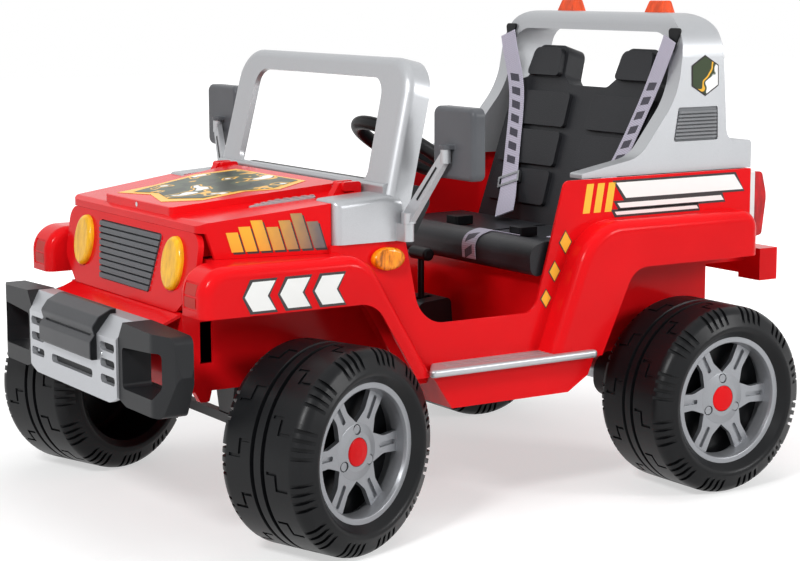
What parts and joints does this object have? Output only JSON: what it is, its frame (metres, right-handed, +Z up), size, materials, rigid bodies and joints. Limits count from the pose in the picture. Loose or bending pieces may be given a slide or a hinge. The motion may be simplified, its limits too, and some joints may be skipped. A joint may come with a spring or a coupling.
{
  "type": "electric ride-on toy car",
  "caption": "Battery-driven two-seat toy off-road car with steered front wheels, opening hood, windscreen frame, roll bar, bench seat and swivelling mirrors.",
  "frame": {"origin": "on the ground, at the middle of the car's length and width", "axes": "+X forward, +Y to the car's left, +Z up"},
  "size_m": [1.31, 0.9928, 0.857],
  "materials": {
    "red_gloss": "gloss moulded",
    "silver_plastic": "metallic moulded",
    "light_grey_plastic": "satin moulded",
    "dark_grey_plastic": "satin moulded",
    "mid_grey_plastic": "satin metallic moulded",
    "black_plastic": "blow moulded",
    "charcoal_plastic": "grained moulded",
    "amber_lens": "clear tinted",
    "orange_lens": "clear tinted",
    "red_lens": "clear tinted",
    "white_plastic": "gloss moulded",
    "grey_webbing": "woven",
    "dark_steel": "painted",
    "zinc_steel": "zinc plated"
  },
  "bodies": {
    "car": {"front_body": "red_gloss", "cabin_floor": "red_gloss", "rear_body": "red_gloss", "front_fascia": "red_gloss", "hinge_brackets": "red_gloss", "rear_bumper": "red_gloss", "windscreen_frame": "silver_plastic", "roll_bar": "silver_plastic", "running_boards": "silver_plastic", "bumper_plate": "light_grey_plastic", "front_bumper": "dark_grey_plastic", "winch_cover": "dark_grey_plastic", "grille": "dark_grey_plastic", "dashboard": "dark_grey_plastic", "side_vents": "dark_grey_plastic", "gear_gate": "dark_grey_plastic", "gearboxes": "dark_grey_plastic", "belt_anchors": "black_plastic", "belt_buckles": "black_plastic", "battery": "black_plastic", "column_bracket": "black_plastic", "seat_cushion": "charcoal_plastic", "seat_back": "charcoal_plastic", "headlight_lenses": "amber_lens", "turn_signals": "amber_lens", "beacons": "orange_lens", "tail_light_lenses": "red_lens", "tail_light_bases": "white_plastic", "belt_strap_left": "grey_webbing", "belt_strap_right": "grey_webbing", "belt_lap": "grey_webbing", "rear_axle": "dark_steel", "front_axle_beam": "dark_steel", "drive_motors": "zinc_steel", "body_screws": "zinc_steel"},
    "hood": {"hood": "red_gloss", "hood_vents": "silver_plastic"},
    "steering": {"steering_wheel": "black_plastic", "steering_column": "dark_steel"},
    "knuckle_left": {"knuckle_left": "dark_steel"},
    "knuckle_right": {"knuckle_right": "dark_steel"},
    "tie_rod": {"tie_rod": "dark_steel"},
    "gear_lever": {"gear_lever": "black_plastic"},
    "accelerator_pedal": {"accelerator_pedal": "black_plastic"},
    "mirror_arm_left": {"mirror_arm_left": "silver_plastic"},
    "mirror_arm_right": {"mirror_arm_right": "silver_plastic"},
    "mirror_left": {"mirror_housing_left": "mid_grey_plastic"},
    "mirror_right": {"mirror_housing_right": "mid_grey_plastic"},
    "wheel_front_left": {"wheel_front_left": "black_plastic", "rim_front_left": "silver_plastic", "wheel_cap_front_left": "red_gloss"},
    "wheel_front_right": {"wheel_front_right": "black_plastic", "rim_front_right": "silver_plastic", "wheel_cap_front_right": "red_gloss"},
    "wheel_rear_left": {"wheel_rear_left": "black_plastic", "rim_rear_left": "silver_plastic", "wheel_cap_rear_left": "red_gloss"},
    "wheel_rear_right": {"wheel_rear_right": "black_plastic", "rim_rear_right": "silver_plastic", "wheel_cap_rear_right": "red_gloss"}
  },
  "joints": [
    {"name": "kingpin_left", "type": "hinge", "parent": "car", "child": "knuckle_left", "pos_m": [0.4, 0.264, 0.166], "axis": [0, 0, 1], "range_deg": [-38.5, 1.5]},
    {"name": "kingpin_right", "type": "hinge", "parent": "car", "child": "knuckle_right", "pos_m": [0.4, -0.264, 0.166], "axis": [0, 0, 1], "range_deg": [-38.5, 1.5]},
    {"name": "steering_turn", "type": "hinge", "parent": "car", "child": "steering", "pos_m": [0.075, 0.13, 0.61], "axis": [-0.527, 0, 0.8499], "range_deg": [-57.75, 2.25]},
    {"name": "tie_rod_pivot", "type": "hinge", "parent": "knuckle_left", "child": "tie_rod", "pos_m": [0.33362, 0.24179, 0.14], "axis": [0, 0, 1], "range_deg": [-1.5, 38.5]},
    {"name": "front_wheel_left_spin", "type": "hinge", "parent": "knuckle_left", "child": "wheel_front_left", "pos_m": [0.4, 0.264, 0.166], "axis": [-0.3173, 0.9483, 0], "continuous": true},
    {"name": "rear_wheel_left_spin", "type": "hinge", "parent": "car", "child": "wheel_rear_left", "pos_m": [-0.4, 0.45, 0.166], "axis": [0, 1, 0], "continuous": true},
    {"name": "front_wheel_right_spin", "type": "hinge", "parent": "knuckle_right", "child": "wheel_front_right", "pos_m": [0.4, -0.264, 0.166], "axis": [-0.3173, 0.9483, 0], "continuous": true},
    {"name": "rear_wheel_right_spin", "type": "hinge", "parent": "car", "child": "wheel_rear_right", "pos_m": [-0.4, -0.45, 0.166], "axis": [0, 1, 0], "continuous": true},
    {"name": "hood_hinge", "type": "hinge", "parent": "car", "child": "hood", "pos_m": [0.248, 0, 0.559], "axis": [0, -1, 0], "range_deg": [0, 60]},
    {"name": "gear_shift", "type": "hinge", "parent": "car", "child": "gear_lever", "pos_m": [-0.048, 0, 0.285], "axis": [0, 1, 0], "range_deg": [-12, 12]},
    {"name": "pedal_press", "type": "hinge", "parent": "car", "child": "accelerator_pedal", "pos_m": [0.015, 0.15, 0.266], "axis": [0, 1, 0], "range_deg": [0, 12], "stiffness_Nm_per_rad": 2.5, "springref_deg": -8.59},
    {"name": "mirror_left_swing", "type": "hinge", "parent": "car", "child": "mirror_arm_left", "pos_m": [0.184, 0.319, 0.512], "axis": [0, 0, 1], "range_deg": [-10, 30]},
    {"name": "mirror_left_turn", "type": "hinge", "parent": "mirror_arm_left", "child": "mirror_left", "pos_m": [0.162, 0.394, 0.618], "axis": [0, 0, 1], "range_deg": [-12, 12]},
    {"name": "mirror_right_swing", "type": "hinge", "parent": "car", "child": "mirror_arm_right", "pos_m": [0.184, -0.319, 0.512], "axis": [0, 0, -1], "range_deg": [-10, 30]},
    {"name": "mirror_right_turn", "type": "hinge", "parent": "mirror_arm_right", "child": "mirror_right", "pos_m": [0.162, -0.394, 0.618], "axis": [0, 0, -1], "range_deg": [-12, 12]}
  ],
  "couplings": [
    {"joint": "kingpin_right", "follows": "kingpin_left", "ratio": 1},
    {"joint": "steering_turn", "follows": "kingpin_left", "ratio": 1.5},
    {"joint": "tie_rod_pivot", "follows": "kingpin_left", "ratio": -1}
  ]
}
